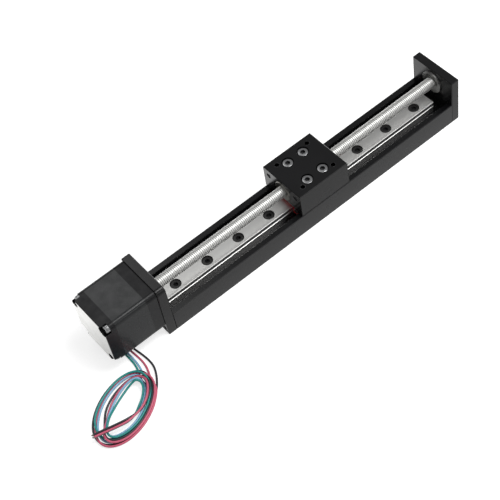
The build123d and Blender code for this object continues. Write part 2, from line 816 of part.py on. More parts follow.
# Coil of the four leads, as one open oval band with the free ends across it
with BuildPart() as lead_coil:
    with BuildSketch(Plane.XY):
        with Locations(coil_center):
            Ellipse(*coil_outer_radii, rotation=coil_turn)
            Ellipse(*coil_inner_radii, rotation=coil_turn, mode=Mode.SUBTRACT)
        with BuildLine():
            Line(ends_from, ends_to)
        trace(line_width=ends_width)
    extrude(amount=coil_height)
save(lead_coil.part, "lead_coil")

# Leads from the grommet to the coil. Each starts straight down, then runs along the surface.
exit_height = motor_bottom - grommet_lip_height
exit_points = {
    colour: [
        (grommet_x, place * wire_pitch, exit_height),
        (grommet_x, place * wire_pitch, exit_height - wire_drop),
    ]
    for colour, place in (("black", 1.5), ("red", 0.5), ("blue", -0.5), ("green", -1.5))
}
lead_floor_points = {
    "black": [
        (-105.4, 2.1),
        (-102.0, -0.4),
        (-100.6, -9.0),
        (-98.9, -18.5),
        (-99.5, -25.5),
        (-104.8, -34.0),
    ],
    "red": [
        (-105.8, 0.4),
        (-103.2, -2.6),
        (-102.2, -10.6),
        (-101.5, -20.4),
        (-105.4, -30.0),
    ],
    "blue": [
        (-106.2, -1.2),
        (-104.5, -4.0),
        (-103.8, -11.0),
        (-103.4, -19.0),
        (-105.6, -26.0),
    ],
    "green": [
        (-107.0, -2.8),
        (-105.8, -5.6),
        (-105.4, -11.0),
        (-105.6, -18.5),
        (-108.6, -25.6),
    ],
}


def bend_radii(points):
    """The largest radius that the runs on each side of an inner point leave room for."""
    radii = []
    for before, here, after in zip(points, points[1:], points[2:]):
        run_in = Vector(*here) - Vector(*before)
        run_out = Vector(*after) - Vector(*here)
        turn = radians(run_in.get_angle(run_out))
        radii.append(bend_share * min(run_in.length, run_out.length) / tan(turn / 2))
    return radii


for colour, floor_points in lead_floor_points.items():
    route = exit_points[colour] + [(x, y, wire_rest_height) for x, y in floor_points]
    radii = bend_radii(route)
    with BuildPart() as lead:
        with BuildLine():
            lead_path = FilletPolyline(*route, radius=radii)
        with BuildSketch(Plane(origin=lead_path @ 0, z_dir=lead_path % 0)):
            Circle(wire_diameter / 2)
        sweep()
        swept_volume = lead.part.volume
        add(lead_coil.part, mode=Mode.SUBTRACT)
    expected_volume = pi * wire_diameter**2 / 4 * lead_path.length
    print(f"lead_{colour}: swept volume over section times length", swept_volume / expected_volume)
    print(f"lead_{colour}: bend radii", [round(radius, 1) for radius in radii])
    save(lead.part, f"lead_{colour}")
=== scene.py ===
import json
from math import cos, pi, radians, sin, sqrt

import bpy
from mathutils import Matrix, Vector, kdtree


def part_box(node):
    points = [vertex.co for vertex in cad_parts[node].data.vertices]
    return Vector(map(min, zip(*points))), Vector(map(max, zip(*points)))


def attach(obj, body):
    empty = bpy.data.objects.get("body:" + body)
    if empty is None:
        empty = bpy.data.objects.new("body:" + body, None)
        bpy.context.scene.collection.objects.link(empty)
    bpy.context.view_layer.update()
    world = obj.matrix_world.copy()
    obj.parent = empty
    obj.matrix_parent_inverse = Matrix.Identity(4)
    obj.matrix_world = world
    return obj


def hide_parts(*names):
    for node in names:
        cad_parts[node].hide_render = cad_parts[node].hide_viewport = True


bl_info = {
    "name": "Motorized linear slide",
    "version": (1, 0),
    "blender": (4, 5, 0),
    "location": "3D View > Sidebar > Slide",
    "description": "Dresses the linear slide: leads, screws, thread, finishes and stage",
    "category": "Object",
}

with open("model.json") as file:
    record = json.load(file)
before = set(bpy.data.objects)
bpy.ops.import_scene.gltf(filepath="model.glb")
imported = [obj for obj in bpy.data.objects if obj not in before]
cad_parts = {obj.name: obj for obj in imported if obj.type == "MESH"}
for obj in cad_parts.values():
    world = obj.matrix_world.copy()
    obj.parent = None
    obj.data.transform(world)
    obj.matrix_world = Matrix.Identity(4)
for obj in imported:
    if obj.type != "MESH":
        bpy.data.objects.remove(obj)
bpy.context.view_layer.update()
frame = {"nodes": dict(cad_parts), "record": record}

MM = 0.001
SCREW_AXIS_HEIGHT = 20.7 * MM

# The leads leave the grommet side by side, straight down, and then lie on the floor. Lengths
# here are in millimetres, apart from a lead's whole length, which is in metres, and its place
# in the row at the grommet, which is counted in pitches. A pair under "coil" says how far the
# lead has turned there, in degrees, and how far it lies inside the oval of the outermost turn.
# These pairs start from points picked on the coil in the photograph, which the fitted
# camera puts on the floor, and were then moved one by one. A lead's free end lies across the coil.
EXIT_X = -108.45
EXIT_HEIGHT = 6.0
EXIT_DROP = 2.6
LEAD_PITCH = 1.5
FLOOR_HEIGHT = 0.6
LEADS = {
    "black": {
        "place": 1.5,
        "length": 0.278,
        "end_offset": 0.3,
        "floor": [
            (-105.4, 2.1),
            (-102.0, -0.4),
            (-100.6, -9.0),
            (-98.9, -18.5),
            (-99.5, -25.5),
            (-104.8, -34.0),
        ],
        "coil": [
            (40, 0.9), (67, 0.9), (95, 0.8), (125, 1.1), (150, 1.0), (170, 0.6), (190, 0.1),
            (225, -0.2), (291, -0.2), (313, 0.4), (341, 1.2), (364, 1.9), (385, 1.7),
            (409, 1.5), (444, 1.3), (465, 1.4), (480, 1.7), (503, 2.4), (525, 4.0), (543, 5.9),
            (560, 6.2), (575, 5.7), (594, 4.7), (625, 4.2), (660, 4.4), (690, 4.2), (720, 3.4),
            (745, 2.6), (770, 3.2), (795, 4.8),
        ],
    },
    "red": {
        "place": 0.5,
        "length": 0.273,
        "end_offset": -0.9,
        "floor": [
            (-105.8, 0.4),
            (-103.2, -2.6),
            (-102.2, -10.6),
            (-101.5, -20.4),
            (-105.4, -30.0),
        ],
        "coil": [
            (22, 0.0), (49, -0.2), (83, -0.2), (106, -0.2), (150, -0.2), (170, 0.3),
            (190, 1.2), (225, 1.6), (260, 1.4), (291, 1.4), (313, 1.8), (341, 2.3), (364, 1.0),
            (385, 0.5), (409, 0.4), (444, 0.3), (480, 0.5), (503, 1.2), (525, 3.4), (543, 6.0),
            (560, 7.2), (575, 7.1), (590, 6.6), (620, 5.8), (650, 5.4), (680, 5.2), (715, 4.2),
            (745, 3.6), (770, 3.4), (795, 4.0),
        ],
    },
    "blue": {
        "place": -0.5,
        "length": 0.244,
        "end_offset": 0.6,
        "floor": [
            (-106.1, -1.8),
            (-104.7, -5.0),
            (-104.2, -11.0),
            (-104.3, -18.8),
            (-106.6, -25.8),
        ],
        "coil": [
            (8, 2.9), (30, 2.2), (49, 2.0), (84, 1.8), (102, 1.9), (125, 2.2), (150, 2.2),
            (190, 2.5), (225, 2.6), (251, 2.3), (284, 2.4), (313, 2.9), (341, 3.6), (364, 4.2),
            (385, 4.4), (409, 4.2), (444, 3.4), (465, 3.7), (480, 4.3), (503, 4.6), (525, 5.8),
            (545, 7.6), (565, 8.0), (590, 7.7), (620, 7.1), (650, 6.6), (680, 6.2), (720, 5.6),
            (760, 5.2), (795, 5.6),
        ],
    },
    "green": {
        "place": -1.5,
        "length": 0.242,
        "end_offset": -0.6,
        "floor": [
            (-107.0, -2.8),
            (-105.8, -5.6),
            (-105.4, -11.0),
            (-105.6, -18.5),
            (-108.6, -25.6),
        ],
        "coil": [
            (0, 5.2), (21, 4.2), (49, 3.1), (67, 2.9), (84, 2.8), (106, 3.1), (125, 3.5),
            (150, 3.6), (170, 3.0), (190, 2.2), (210, 1.2), (225, 0.9), (267, 0.9), (291, 0.8),
            (313, 1.4), (341, 2.7), (364, 3.0), (385, 2.7), (409, 2.6), (444, 2.3), (480, 3.0),
            (503, 3.6), (525, 6.0), (545, 8.4), (573, 8.9), (601, 8.8), (629, 8.4), (655, 8.0),
            (690, 7.2), (720, 6.6), (760, 6.0), (795, 6.2),
        ],
    },
}
COIL_CENTER = (-123.3, -32.6)
COIL_RADII = (21.5, 12.9)
COIL_TURN = radians(25)
COIL_START = -20
COIL_STEP = 15
FULL_TURN = 360

# How the leads are laid on each other: the spots that stand for a stretch of lead, the places
# looked at on either side of a point, and how often the heights are smoothed. Two leads lie at
# least SQUEEZE of a diameter apart, as vinyl gives a little.
SPOTS_PER_STRETCH = 8
PLACES_BESIDE = 4
SMOOTHINGS = 3
SQUEEZE = 0.9

FREE_END = [(-126.6, -41.4), (-131.0, -40.4), (-135.2, -39.3), (-139.4, -38.1), (-143.4, -37.0)]
ACROSS_FREE_END = (0.27, 0.96)
FREE_END_ORDER = ("blue", "green", "black", "red")

# The screws that are seen. A socket's key is its width across flats. A seat is where the
# underside of a head lies: the height of the rail's, the depth of the carriage's below its top
# and the place along X of the motor's. The carriage's screws are placed from its middle, and
# the motor's from the axis of the feed screw.
CAP_HEAD = {"radius": 2.75 * MM, "height": 3.0 * MM, "shank_radius": 1.5 * MM, "key": 2.5 * MM}
PAN_HEAD = {"radius": 2.15 * MM, "height": 2.0 * MM, "shank_radius": 1.25 * MM}
PAN_SLOT = {"slot_length": 2.4 * MM, "slot_width": 0.6 * MM}
RAIL_SHANK = 6.4 * MM
RAIL_SCREW_COUNT = 9
RAIL_SCREW_PITCH = 20 * MM
FIRST_RAIL_SCREW = -65.5 * MM
RAIL_SCREW_SEAT = 7.65 * MM
CARRIAGE_SHANK = 12.7 * MM
CARRIAGE_SCREW_ALONG = 5 * MM
CARRIAGE_SCREW_ACROSS = 7.5 * MM
CARRIAGE_SCREW_SEAT = 3.5 * MM
MOUNT_HOLE_OFFSET = 10 * MM
MOTOR_SHANK = 31.9 * MM
MOTOR_SCREW_OFFSET = 11.5 * MM
MOTOR_SCREW_SEAT = -109.65 * MM


class SlideColours(bpy.types.PropertyGroup):
    """Colours of the slide's finishes, as sRGB hex values."""

    anodised: bpy.props.StringProperty(
        name="Anodised", description="Colour of the carriage and the plates", default="#161617"
    )
    anodised_base: bpy.props.StringProperty(
        name="Anodised base", description="Colour of the base channel", default="#08080a"
    )
    bare_aluminium: bpy.props.StringProperty(
        name="Bare aluminium", description="Colour of the cut threads", default="#6a6a6c"
    )
    motor_stack: bpy.props.StringProperty(
        name="Motor stack", description="Paint on the motor's stack", default="#2a2b2c"
    )
    motor_bells: bpy.props.StringProperty(
        name="Motor bells", description="Paint on the motor's two ends", default="#131315"
    )
    bare_bell: bpy.props.StringProperty(
        name="Bare bell", description="Colour of the motor's machined rear face", default="#c0c0be"
    )
    steel: bpy.props.StringProperty(
        name="Ground steel", description="Colour of the rail and guide block", default="#e6e6e4"
    )
    bearing: bpy.props.StringProperty(
        name="Bearing steel", description="Colour of the bearings' rings", default="#a2a2a0"
    )
    screw_steel: bpy.props.StringProperty(
        name="Screw steel", description="Colour of the feed screw", default="#dadad8"
    )
    zinc: bpy.props.StringProperty(
        name="Zinc", description="Colour of the bright screws", default="#a4a5a6"
    )
    oxide: bpy.props.StringProperty(
        name="Black oxide", description="Colour of the black screws", default="#17181a"
    )
    # Dark grease in the screws' sockets together with painted shade: the sockets are coloured
    # darker than their own shade makes them.
    socket: bpy.props.StringProperty(
        name="Socket", description="Colour of the grease in the screws' sockets", default="#303032"
    )
    rotor_iron: bpy.props.StringProperty(
        name="Rotor iron", description="Colour of the rotor's cores", default="#8c8c8c"
    )
    copper: bpy.props.StringProperty(
        name="Copper", description="Colour of the enamelled windings", default="#b06a3a"
    )
    brass: bpy.props.StringProperty(
        name="Brass", description="Colour of the lead nut", default="#7f7d78"
    )
    tinned: bpy.props.StringProperty(
        name="Tinned copper", description="Colour of the leads' bare ends", default="#b0a9a2"
    )
    seal: bpy.props.StringProperty(
        name="Seal", description="Colour of the guide's end seals", default="#cc3038"
    )
    plastic: bpy.props.StringProperty(
        name="Plastic", description="Colour of end caps and grommet", default="#17171a"
    )
    wire_black: bpy.props.StringProperty(
        name="Black lead", description="Colour of the black lead", default="#34353a"
    )
    wire_red: bpy.props.StringProperty(
        name="Red lead", description="Colour of the red lead", default="#d8647f"
    )
    wire_blue: bpy.props.StringProperty(
        name="Blue lead", description="Colour of the blue lead", default="#96c6e6"
    )
    wire_green: bpy.props.StringProperty(
        name="Green lead", description="Colour of the green lead", default="#2f9a94"
    )


class SlideSizes(bpy.types.PropertyGroup):
    """Sizes of the pieces that are added to the slide."""

    wire_diameter: bpy.props.FloatProperty(
        name="Lead diameter", description="Outer diameter of a lead",
        default=1.1 * MM, unit="LENGTH",
    )
    bare_length: bpy.props.FloatProperty(
        name="Bare end", description="Length of the stripped end of a lead",
        default=1.2 * MM, unit="LENGTH",
    )
    bare_diameter: bpy.props.FloatProperty(
        name="Bare diameter", description="Diameter of the stripped end of a lead",
        default=0.55 * MM, unit="LENGTH",
    )
    thread_lead: bpy.props.FloatProperty(
        name="Thread lead", description="How far the screw's thread goes in one turn",
        default=1.0 * MM, unit="LENGTH",
    )
    thread_depth: bpy.props.FloatProperty(
        name="Thread depth", description="Depth of the screw's thread",
        default=0.5 * MM, unit="LENGTH",
    )
    head_rounding: bpy.props.FloatProperty(
        name="Head rounding", description="Rounding of the screw heads' upper edge",
        default=0.3 * MM, unit="LENGTH",
    )


class StageSettings(bpy.types.PropertyGroup):
    """Light and floor around the slide."""

    floor_size: bpy.props.FloatProperty(
        name="Floor", description="Side of the square floor", default=8.0, unit="LENGTH"
    )
    sky: bpy.props.FloatProperty(
        name="Sky", description="Brightness of the room above the slide", default=0.28
    )
    front_lamp: bpy.props.FloatProperty(
        name="Front lamp", description="Power of the low front lamp", default=0.8
    )
    top_lamp: bpy.props.FloatProperty(
        name="Top lamp", description="Power of the lamp above", default=5.0
    )
    back_lamp: bpy.props.FloatProperty(
        name="Back lamp", description="Power of the lamp behind the slide", default=0.6
    )
    lens: bpy.props.FloatProperty(
        name="Lens", description="Focal length on a 36 mm wide image",
        default=95.51, subtype="DISTANCE_CAMERA",
    )


def linear(hex_colour):
    """An sRGB hex colour as linear red, green, blue and alpha."""
    channels = [int(hex_colour[at:at + 2], 16) / 255 for at in (1, 3, 5)]
    return [c / 12.92 if c <= 0.04045 else ((c + 0.055) / 1.055) ** 2.4 for c in channels] + [1]


def add_node(tree, kind, values=None, links=None, **settings):
    """Adds a node with its settings, the values of its inputs and the links into them."""
    node = tree.nodes.new(kind)
    for name, value in settings.items():
        setattr(node, name, value)
    for name, value in (values or {}).items():
        node.inputs[name].default_value = value
    for name, source in (links or {}).items():
        tree.links.new(source, node.inputs[name])
    return node


def new_material(name):
    """A material with an empty surface, and its node tree."""
    material = bpy.data.materials.new(name)
    material.use_nodes = True
    material.node_tree.nodes.clear()
    return material, material.node_tree


def finish_material(tree, shader):
    """Links a shader to the material's output."""
    add_node(tree, "ShaderNodeOutputMaterial", links={"Surface": shader})


def ramp(tree, factor, low, high, start, end):
    """Maps a factor's range to another one."""
    return add_node(
        tree, "ShaderNodeMapRange",
        {"From Min": low, "From Max": high, "To Min": start, "To Max": end},
        {"Value": factor},
    ).outputs["Result"]


def noise(tree, place, size, detail):
    """A noise whose patches are about as wide as size."""
    return add_node(
        tree, "ShaderNodeTexNoise", {"Scale": 1 / size, "Detail": detail}, {"Vector": place}
    ).outputs["Fac"]


def spread(tree, factor, start, end):
    """Maps the range that most of a noise lies in to another one."""
    return ramp(tree, factor, 0.3, 0.7, start, end)


def relief(tree, height, strength, depth):
    """The normals of a surface with a slight relief."""
    return add_node(
        tree, "ShaderNodeBump", {"Strength": strength, "Distance": depth}, {"Height": height}
    ).outputs["Normal"]


def mixed(tree, share, hex_colour, other_hex):
    """The first colour where the share is zero, and the other where it is one."""
    return add_node(
        tree, "ShaderNodeMix", data_type="RGBA",
        values={6: linear(hex_colour), 7: linear(other_hex)}, links={0: share},
    ).outputs[2]


def vector_math(tree, operation, vector, other=(0, 0, 0), output="Vector"):
    """A vector after an operation with a constant one."""
    return add_node(
        tree, "ShaderNodeVectorMath", operation=operation, values={1: other}, links={0: vector}
    ).outputs[output]


def calculate(tree, operation, *inputs):
    """The result of an operation on numbers and on the outputs of nodes."""
    numbers = {at: item for at, item in enumerate(inputs) if isinstance(item, (int, float))}
    links = {at: item for at, item in enumerate(inputs) if at not in numbers}
    return add_node(
        tree, "ShaderNodeMath", operation=operation, values=numbers, links=links
    ).outputs["Value"]


def anodised_aluminium(name, hex_colour, ior, bare=None):
    """Milled aluminium with a black anodic coat: dark, smooth and slightly glossy, with a
    faint grain of about 0.2 mm from the etching before it, and soft patches of gloss. Where
    bare says so, the coat is cut away and light metal shows."""
    colours = bpy.context.scene.slide_colours
    material, tree = new_material(name)
    place = add_node(tree, "ShaderNodeTexCoord").outputs["Object"]
    grain = noise(tree, place, 0.2 * MM, 2)
    patches = noise(tree, place, 25 * MM, 3)
    shader = add_node(
        tree, "ShaderNodeBsdfPrincipled", {"Base Color": linear(hex_colour), "IOR": ior},
        {
            "Roughness": spread(tree, patches, 0.2, 0.3),
            "Normal": relief(tree, grain, 0.06, 0.02 * MM),
        },
    )
    if bare:
        shown = bare(tree, place)
        colour = mixed(tree, shown, hex_colour, colours.bare_aluminium)
        tree.links.new(colour, shader.inputs["Base Color"])
        tree.links.new(shown, shader.inputs["Metallic"])
    finish_material(tree, shader.outputs["BSDF"])
    return material


def cut_threads(tree, place):
    """One in the four mounting holes of the carriage and at their worn edges, else zero."""
    low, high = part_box("carriage_block")
    middle = (low + high) / 2
    hole = (MOUNT_HOLE_OFFSET, MOUNT_HOLE_OFFSET, 0)
    from_middle = vector_math(tree, "SUBTRACT", place, (middle.x, middle.y, 0))
    quarter = vector_math(tree, "ABSOLUTE", from_middle)
    from_hole = vector_math(tree, "SUBTRACT", quarter, hole)
    flat = vector_math(tree, "MULTIPLY", from_hole, (1, 1, 0))
    radius = vector_math(tree, "LENGTH", flat, output="Value")
    wear = noise(tree, place, 0.8 * MM, 2)
    edge = ramp(tree, wear, 0.35, 0.65, 1.2 * MM, 1.6 * MM)
    return calculate(tree, "LESS_THAN", radius, edge)


def motor_paint(name, hex_colour, rough, ior):
    """Satin paint, with a skin of about 0.9 mm. The rear face is machined after painting, so
    it is bare."""
    colours = bpy.context.scene.slide_colours
    material, tree = new_material(name)
    place = add_node(tree, "ShaderNodeTexCoord").outputs["Object"]
    along = add_node(tree, "ShaderNodeSeparateXYZ", links={"Vector": place}).outputs["X"]
    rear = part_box("motor_rear_bell")[0].x
    bare = ramp(tree, along, rear + 0.07 * MM, rear + 0.03 * MM, 0, 1)
    skin = noise(tree, place, 0.9 * MM, 1)
    scratches = noise(tree, place, 4 * MM, 4)
    shader = add_node(
        tree, "ShaderNodeBsdfPrincipled", {"IOR": ior},
        {
            "Base Color": mixed(tree, bare, hex_colour, colours.bare_bell),
            "Metallic": bare,
            "Roughness": spread(tree, scratches, rough - 0.06, rough + 0.06),
            "Normal": relief(tree, skin, 0.05, 0.03 * MM),
        },
    )
    finish_material(tree, shader.outputs["BSDF"])
    return material


def ground_metal(name, hex_colour, grain, rough):
    """Metal with fine parallel marks along the slide: light streaks drawn out along X."""
    material, tree = new_material(name)
    place = add_node(tree, "ShaderNodeTexCoord").outputs["Object"]
    drawn = add_node(
        tree, "ShaderNodeMapping", {"Scale": (1, 40, 40)}, {"Vector": place}
    ).outputs["Vector"]
    marks = noise(tree, drawn, grain, 3)
    shader = add_node(
        tree, "ShaderNodeBsdfPrincipled", {"Base Color": linear(hex_colour), "Metallic": 1},
        {
            "Roughness": spread(tree, marks, rough - 0.06, rough + 0.08),
            "Normal": relief(tree, marks, 0.1, 0.02 * MM),
        },
    )
    finish_material(tree, shader.outputs["BSDF"])
    return material


def black_oxide(name):
    """Steel screws with an oiled black oxide coat: nearly black, with a dull metal gloss."""
    colours = bpy.context.scene.slide_colours
    material, tree = new_material(name)
    place = add_node(tree, "ShaderNodeTexCoord").outputs["Object"]
    spots = noise(tree, place, 0.6 * MM, 2)
    shader = add_node(
        tree, "ShaderNodeBsdfPrincipled",
        {"Base Color": linear(colours.oxide), "Metallic": 0.3},
        {"Roughness": spread(tree, spots, 0.3, 0.45)},
    )
    finish_material(tree, shader.outputs["BSDF"])
    return material


def moulded(name, hex_colour, rough, grain, lower=None):
    """A moulded plastic or rubber with a fine even grain that breaks up its gloss. Its lower
    part may have a colour of its own, up to a height."""
    material, tree = new_material(name)
    place = add_node(tree, "ShaderNodeTexCoord").outputs["Object"]
    skin = noise(tree, place, grain, 2)
    shader = add_node(
        tree, "ShaderNodeBsdfPrincipled", {"Base Color": linear(hex_colour)},
        {
            "Roughness": spread(tree, skin, rough - 0.05, rough + 0.05),
            "Normal": relief(tree, skin, 0.1, 0.02 * MM),
        },
    )
    if lower:
        lower_colour, height = lower
        up = add_node(tree, "ShaderNodeSeparateXYZ", links={"Vector": place}).outputs["Z"]
        above = calculate(tree, "GREATER_THAN", up, height)
        colour = mixed(tree, above, lower_colour, hex_colour)
        tree.links.new(colour, shader.inputs["Base Color"])
    finish_material(tree, shader.outputs["BSDF"])
    return material


def end_cap(name):
    """A black end cap of the guide block. Its legs beside the rail are covered by the red
    end seal, which is what shows of the guide under the carriage."""
    colours = bpy.context.scene.slide_colours
    rail_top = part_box("rail")[1].z
    return moulded(name, colours.plastic, 0.4, 0.3 * MM, (colours.seal, rail_top))


def shared(name, make, *details):
    """The material of that name, made by the first piece that needs it."""
    return bpy.data.materials.get(name) or make(name, *details)


def vinyl(colour):
    """The smooth vinyl of one of the leads."""
    hex_colour = getattr(bpy.context.scene.slide_colours, f"wire_{colour}")
    return shared(f"vinyl_{colour}", moulded, hex_colour, 0.4, 0.5 * MM)


def zinc_plate():
    """Steel screws with a bright zinc coat."""
    return shared("zinc_plate", ground_metal, bpy.context.scene.slide_colours.zinc, 0.3 * MM, 0.3)


def paint(piece, material):
    """Gives a piece or a CAD node one material in all of its slots."""
    if not piece.material_slots:
        piece.data.materials.append(material)
    for slot in piece.material_slots:
        slot.material = material


def start_piece():
    """Leaves nothing selected, in object mode."""
    if bpy.context.object and bpy.context.object.mode != "OBJECT":
        bpy.ops.object.mode_set(mode="OBJECT")
    bpy.ops.object.select_all(action="DESELECT")


def select_faces(piece, chosen):
    """Selects the faces that a test picks, and leaves the piece in edit mode."""
    bpy.ops.object.mode_set(mode="EDIT")
    bpy.ops.mesh.select_mode(type="FACE")
    bpy.ops.mesh.select_all(action="DESELECT")
    bpy.ops.object.mode_set(mode="OBJECT")
    for face in piece.data.polygons:
        face.select = chosen(face)
    bpy.ops.object.mode_set(mode="EDIT")


def apply_modifiers(piece):
    """Applies every modifier of a piece in order."""
    bpy.context.view_layer.objects.active = piece
    for modifier in list(piece.modifiers):
        bpy.ops.object.modifier_apply(modifier=modifier.name)


def join(pieces, name):
    """Joins pieces into the first one and names it."""
    bpy.ops.object.select_all(action="DESELECT")
    for piece in pieces:
        piece.select_set(True)
    bpy.context.view_layer.objects.active = pieces[0]
    if len(pieces) > 1:
        bpy.ops.object.join()
    pieces[0].name = name
    return pieces[0]


def settle(piece):
    """Puts a piece's place into its mesh, so that its object sits at the origin."""
    bpy.ops.object.select_all(action="DESELECT")
    piece.select_set(True)
    bpy.context.view_layer.objects.active = piece
    bpy.ops.object.transform_apply(location=True, rotation=True, scale=True)
    return piece


def cut(piece, cutter):
    """Cuts one closed piece out of another."""
    modifier = piece.modifiers.new("cut", "BOOLEAN")
    modifier.operation = "DIFFERENCE"
    modifier.solver = "EXACT"
    modifier.object = cutter
    apply_modifiers(piece)
    bpy.data.objects.remove(cutter)


def screw_head(radius, height, shank_radius, shank_length):
    """A round head with its upper edge rounded, standing on z = 0 with its shank below."""
    sizes = bpy.context.scene.slide_sizes
    start_piece()
    bpy.ops.mesh.primitive_cylinder_add(
        vertices=48, radius=radius, depth=height, location=(0, 0, height / 2)
    )
    piece = settle(bpy.context.object)
    select_faces(piece, lambda face: face.normal.z > 0.9)
    bpy.ops.mesh.bevel(offset=sizes.head_rounding, segments=3, affect="EDGES")
    select_faces(piece, lambda face: face.normal.z < -0.9)
    bpy.ops.mesh.inset(thickness=radius - shank_radius)
    bpy.ops.mesh.extrude_region_move(TRANSFORM_OT_translate={"value": (0, 0, -shank_length)})
    bpy.ops.object.mode_set(mode="OBJECT")
    return piece


def socket_screw(finish, recess, shank_length, key, radius, height, shank_radius):
    """A cap screw with a hexagon socket, which has a finish of its own: dark grease with painted
    shade.
    """
    piece = screw_head(radius, height, shank_radius, shank_length)
    piece.data.materials.append(finish)
    piece.data.materials.append(recess)
    start_piece()
    bpy.ops.mesh.primitive_cylinder_add(
        vertices=6, radius=key / sqrt(3), depth=height * 1.1, location=(0, 0, height)
    )
    cut(piece, settle(bpy.context.object))
    # The faces inside the socket get the second material: dark grease with painted shade in the
    # recess.
    for face in piece.data.polygons:
        inside = face.center.xy.length < key * 0.6 and 0 < face.center.z < height - 0.01 * MM
        face.material_index = 1 if inside else 0
    return piece


def cross_screw(radius, height, shank_radius, shank_length, slot_length, slot_width):
    """A pan head screw with a cross recess."""
    piece = screw_head(radius, height, shank_radius, shank_length)
    for turn in (0, 90):
        start_piece()
        bpy.ops.mesh.primitive_cube_add(
            size=1, location=(0, 0, height), rotation=(0, 0, radians(turn)),
            scale=(slot_length, slot_width, height * 1.1),
        )
        cut(piece, settle(bpy.context.object))
    return piece


def copies(piece, places, axis_turn, name):
    """Copies a screw to each place, each turned about itself by another angle."""
    made = []
    for index, place in enumerate(places):
        start_piece()
        new = bpy.data.objects.new(name, piece.data.copy())
        bpy.context.scene.collection.objects.link(new)
        new.matrix_world = (
            Matrix.Translation(place) @ axis_turn @ Matrix.Rotation(radians(23 * index), 4, "Z")
        )
        made.append(settle(new))
    bpy.data.objects.remove(piece)
    joined = join(made, name)
    bpy.ops.object.shade_smooth_by_angle(angle=radians(35))
    return joined


def coil_place(stations, turned):
    """The place on the floor of a lead that has turned so far round the coil."""
    inset = stations[-1][1]
    for (start, inset_before), (end, inset_after) in zip(stations, stations[1:]):
        if turned <= end:
            inset = inset_before + (inset_after - inset_before) * (turned - start) / (end - start)
            break
    angle = radians(COIL_START - turned)
    along = (COIL_RADII[0] - inset) * cos(angle)
    across = (COIL_RADII[1] - inset) * sin(angle)
    return (
        COIL_CENTER[0] + along * cos(COIL_TURN) - across * sin(COIL_TURN),
        COIL_CENTER[1] + along * sin(COIL_TURN) + across * cos(COIL_TURN),
    )


class LaidLeads:
    """What lies on the floor already, so that the next stretch of lead comes to rest on it."""

    def __init__(self, diameter):
        self.diameter = diameter * SQUEEZE
        self.spots = []
        self.tree = None

    def lay(self, points, colour, turned_from, turned_to):
        """Adds a stretch of lead, as spots closer together than it is thick."""
        stretches = len(points) - 1
        for index in range(stretches):
            start, end = Vector(points[index]), Vector(points[index + 1])
            for part in range(SPOTS_PER_STRETCH):
                share = (index + part / SPOTS_PER_STRETCH) / stretches
                turned = turned_from + (turned_to - turned_from) * share
                spot = start.lerp(end, part / SPOTS_PER_STRETCH)
                self.spots.append((spot, colour, turned))
        self.tree = kdtree.KDTree(len(self.spots))
        for index, (spot, _, _) in enumerate(self.spots):
            self.tree.insert((spot.x, spot.y, 0), index)
        self.tree.balance()

    def height(self, place, colour, turned):
        """The height at which a lead rests at a place. It doesn't rest on itself within half a
        turn."""
        height = FLOOR_HEIGHT
        for _, index, apart in self.tree.find_range((*place, 0), self.diameter):
            spot, other, other_turned = self.spots[index]
            if other != colour or turned - other_turned > FULL_TURN / 2:
                height = max(height, spot.z + sqrt(self.diameter**2 - apart**2))
        return height


def lay_leads(diameter):
    """The route of each lead: from the grommet, along the floor, round the coil and over it.
    All first turns are laid before the second ones, and the free ends last."""
    laid = LaidLeads(diameter)
    routes = {}
    for colour, lead in LEADS.items():
        exit_y = lead["place"] * LEAD_PITCH
        entry = lead["coil"][0][0]
        floor = [(x, y, FLOOR_HEIGHT) for x, y in lead["floor"]]
        floor.append((*coil_place(lead["coil"], entry), FLOOR_HEIGHT))
        laid.lay(floor, colour, entry, entry)
        routes[colour] = [
            (EXIT_X, exit_y, EXIT_HEIGHT), (EXIT_X, exit_y, EXIT_HEIGHT - EXIT_DROP), *floor
        ]
    last_turn = max(lead["coil"][-1][0] for lead in LEADS.values()) // FULL_TURN
    for turn in range(last_turn + 1):
        for colour, lead in LEADS.items():
            stations = lead["coil"]
            first = stations[0][0] + COIL_STEP
            steps = range(first, stations[-1][0] + 1, COIL_STEP)
            steps = [turned for turned in steps if turned // FULL_TURN == turn]
            heights = [routes[colour][-1][2]]
            for turned in steps:
                around = [
                    turned + COIL_STEP * part / (2 * PLACES_BESIDE)
                    for part in range(-PLACES_BESIDE, PLACES_BESIDE + 1)
                ]
                heights.append(max(
                    laid.height(coil_place(stations, near), colour, near) for near in around
                ))
            for _ in range(SMOOTHINGS):
                for at in range(1, len(heights) - 1):
                    heights[at] = max(heights[at], (heights[at - 1] + heights[at + 1]) / 2)
            points = [
                (*coil_place(stations, turned), height)
                for turned, height in zip(steps, heights[1:])
            ]
            laid.lay([routes[colour][-1], *points], colour, steps[0] - COIL_STEP, steps[-1])
            routes[colour] += points
    for colour in FREE_END_ORDER:
        offset = LEADS[colour]["end_offset"]
        places = [
            (x + offset * ACROSS_FREE_END[0], y + offset * ACROSS_FREE_END[1])
            for x, y in FREE_END
        ]
        turned = LEADS[colour]["coil"][-1][0]
        around = [
            Vector(start).lerp(end, part / SPOTS_PER_STRETCH)
            for start, end in zip(places, places[1:])
            for part in range(SPOTS_PER_STRETCH + 1)
        ]
        top = max(laid.height(place, colour, turned) for place in around)
        points = [(*place, top) for place in places]
        laid.lay(points, colour, turned, turned)
        routes[colour] += points
    return {
        colour: [Vector(point) * MM for point in points] for colour, points in routes.items()
    }


